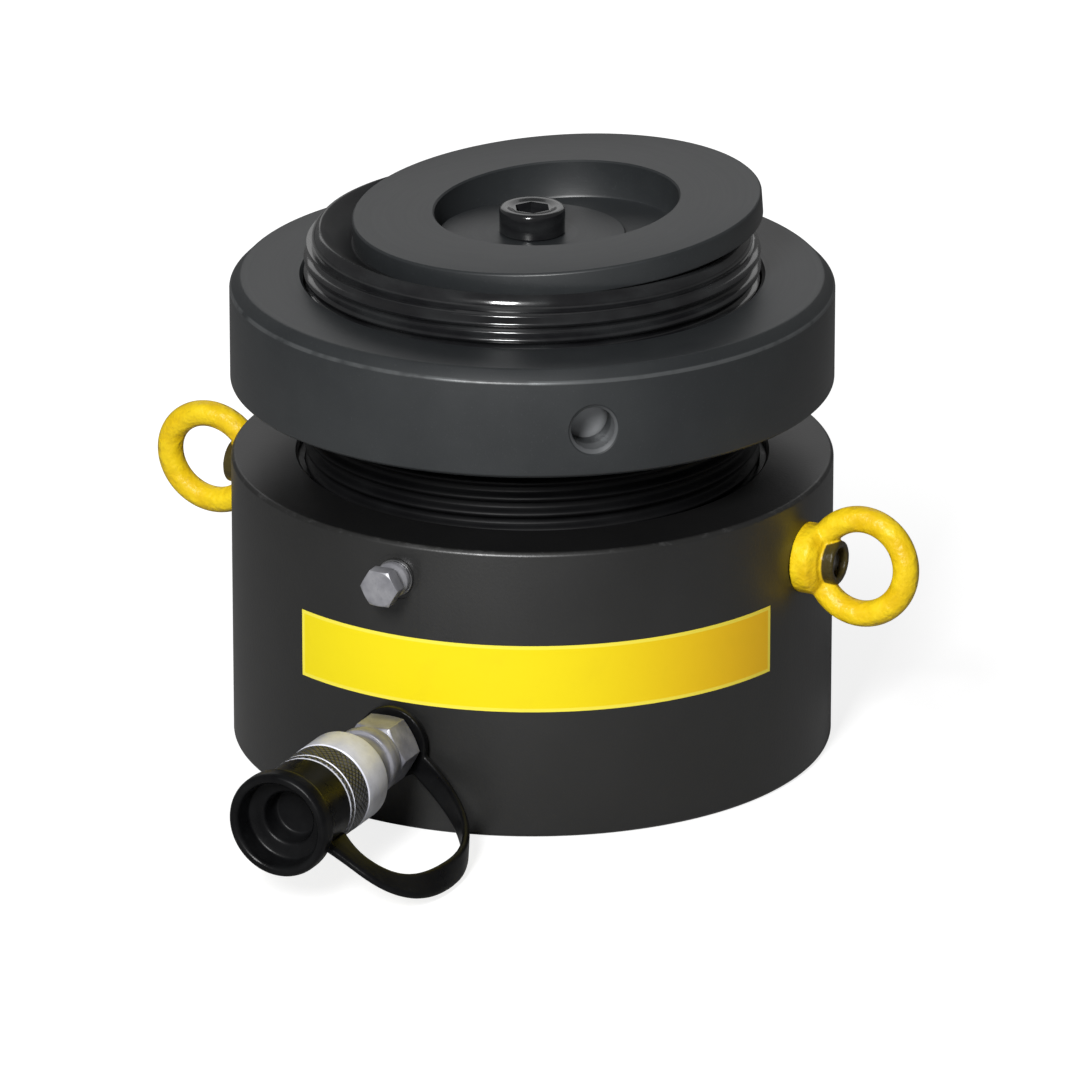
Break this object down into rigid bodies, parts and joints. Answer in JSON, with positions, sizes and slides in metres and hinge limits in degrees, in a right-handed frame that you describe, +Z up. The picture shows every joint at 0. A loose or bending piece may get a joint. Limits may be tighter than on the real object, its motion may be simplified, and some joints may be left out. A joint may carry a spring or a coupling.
{
  "type": "low height hydraulic cylinder",
  "caption": "Short round hydraulic lifting cylinder with a threaded plunger, a lock nut, a tilting saddle, lifting eyes and a side coupler with a dust cap.",
  "frame": {"origin": "centre of the flat base that the cylinder stands on", "axes": "+Z up along the plunger's axis; -Y out along the hydraulic coupler; the lifting eyes stand on +X and -X"},
  "size_m": [0.309, 0.3142, 0.2083],
  "materials": {
    "body_paint": "satin black paint",
    "nut_oxide": "satin black oxide",
    "thread_oxide": "glossy black oxide",
    "bright_zinc": "zinc plated, turned",
    "plain_steel": "machined",
    "black_rubber": "moulded",
    "yellow_paint": "semi-gloss paint on a forging",
    "bearing_bronze": "machined",
    "seal_rubber": "moulded",
    "seal_plastic": "machined"
  },
  "bodies": {
    "cylinder": {"cylinder_body": "body_paint", "rod_wiper": "black_rubber", "eye_nut_right": "yellow_paint", "eye_nut_left": "yellow_paint", "eye_stud_right": "plain_steel", "eye_stud_left": "plain_steel", "overflow_plug": "bright_zinc", "overflow_plug_washer": "plain_steel", "coupler_nipple": "bright_zinc", "coupler_shell": "bright_zinc", "coupler_spring": "plain_steel", "cap_strap": "black_rubber"},
    "plunger": {"plunger": "thread_oxide", "piston_bearing": "bearing_bronze", "piston_seal": "seal_rubber", "seal_backup_ring": "seal_plastic", "saddle_spacer": "plain_steel", "saddle_washer": "nut_oxide", "saddle_screw": "nut_oxide"},
    "lock_nut": {"lock_nut": "nut_oxide"},
    "saddle": {"saddle": "nut_oxide"},
    "coupler_sleeve": {"coupler_sleeve": "bright_zinc"},
    "coupler_poppet": {"coupler_poppet": "plain_steel"},
    "dust_cap": {"dust_cap": "black_rubber"}
  },
  "joints": [
    {"name": "plunger_stroke", "type": "slide", "parent": "cylinder", "child": "plunger", "axis": [0, 0, 1], "range_m": [-0.0277, 0.008]},
    {"name": "lock_nut_turn", "type": "hinge", "parent": "plunger", "child": "lock_nut", "pos_m": [0, 0, 0.137], "axis": [0, 0, 1], "range_deg": [-1680, 720]},
    {"name": "saddle_tilt", "type": "hinge", "parent": "plunger", "child": "saddle", "pos_m": [0, 0, 0.32405], "axis": [0.6691, -0.7431, 0], "range_deg": [-8.6, 0]},
    {"name": "coupler_sleeve_turn", "type": "hinge", "parent": "cylinder", "child": "coupler_sleeve", "pos_m": [0, -0.1641, 0.034], "axis": [0, -1, 0], "continuous": true},
    {"name": "coupler_poppet_push", "type": "slide", "parent": "cylinder", "child": "coupler_poppet", "axis": [0, 1, 0], "range_m": [0, 0.003], "stiffness_N_per_m": 2000, "springref_m": -0.004},
    {"name": "dust_cap_pull", "type": "slide", "parent": "cylinder", "child": "dust_cap", "axis": [0, -1, 0], "range_m": [0, 0.025]}
  ]
}
